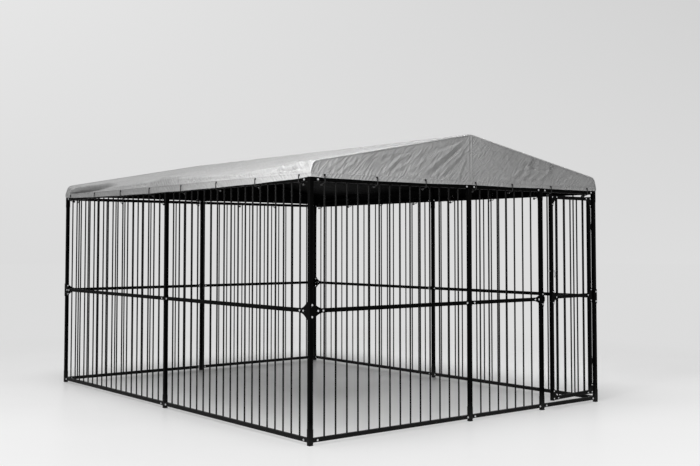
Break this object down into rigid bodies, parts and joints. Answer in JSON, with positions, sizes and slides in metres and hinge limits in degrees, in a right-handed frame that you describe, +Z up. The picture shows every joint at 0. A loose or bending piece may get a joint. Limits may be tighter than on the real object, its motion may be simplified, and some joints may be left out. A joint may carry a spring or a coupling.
{
  "type": "outdoor dog kennel run",
  "caption": "Walk-in barred dog run on square posts with bolted rails, a hinged barred door with a sliding latch, and a gable canopy tied down over bent rafters",
  "frame": {"origin": "on the floor, in the middle of the run's footprint", "axes": "+X along the door wall towards the door's hinges, +Y from the door wall to the back wall along the ridge, +Z up"},
  "size_m": [3.0744, 4.0989, 2.1859],
  "materials": {
    "powder_coat": "satin",
    "moulded_black": "matte",
    "zinc": "zinc plated",
    "canopy_cloth": "coated weave",
    "hem_cloth": "coated weave",
    "tie_cord": "matte",
    "tie_ball": "gloss"
  },
  "bodies": {
    "run": {"front_left_post": "powder_coat", "front_mid_post": "powder_coat", "door_post": "powder_coat", "front_right_post": "powder_coat", "left_mid_post": "powder_coat", "right_mid_post": "powder_coat", "back_left_post": "powder_coat", "back_mid_post": "powder_coat", "back_right_post": "powder_coat", "foot_caps": "moulded_black", "door_post_cap": "moulded_black", "front_top_rails": "powder_coat", "front_mid_rails": "powder_coat", "front_bottom_rails": "powder_coat", "right_top_rails": "powder_coat", "right_mid_rails": "powder_coat", "right_bottom_rails": "powder_coat", "back_top_rails": "powder_coat", "back_mid_rails": "powder_coat", "back_bottom_rails": "powder_coat", "left_top_rails": "powder_coat", "left_mid_rails": "powder_coat", "left_bottom_rails": "powder_coat", "front_bars": "powder_coat", "right_bars": "powder_coat", "back_bars": "powder_coat", "left_bars": "powder_coat", "corner_sleeves": "powder_coat", "tee_sleeves": "powder_coat", "corner_brackets": "powder_coat", "door_post_plate": "powder_coat", "frame_bolts": "zinc", "frame_nuts": "zinc", "left_rafters": "powder_coat", "right_rafters": "powder_coat", "ridge_poles": "powder_coat", "ridge_connectors": "moulded_black", "king_posts": "powder_coat", "canopy": "canopy_cloth", "canopy_hem": "hem_cloth", "hem_eyelets": "moulded_black", "tie_cords": "tie_cord", "tie_balls": "tie_ball", "hinge_pintles": "powder_coat", "latch_keeper": "powder_coat"},
    "door": {"door_hinge_stile": "powder_coat", "door_latch_stile": "powder_coat", "door_rails": "powder_coat", "door_bars": "powder_coat", "door_gussets": "powder_coat", "door_bolts": "zinc", "door_nuts": "zinc", "stile_caps": "moulded_black", "hinge_eyes": "powder_coat", "latch_guides": "powder_coat"},
    "latch": {"latch_bolt": "zinc"}
  },
  "joints": [
    {"name": "door_swing", "type": "hinge", "parent": "run", "child": "door", "pos_m": [1.4755, -2, 0], "axis": [0, 0, 1], "range_deg": [-5, 85]},
    {"name": "latch_slide", "type": "slide", "parent": "door", "child": "latch", "axis": [-0.9962, -0.0872, 0], "range_m": [-0.015, 0.03]}
  ]
}
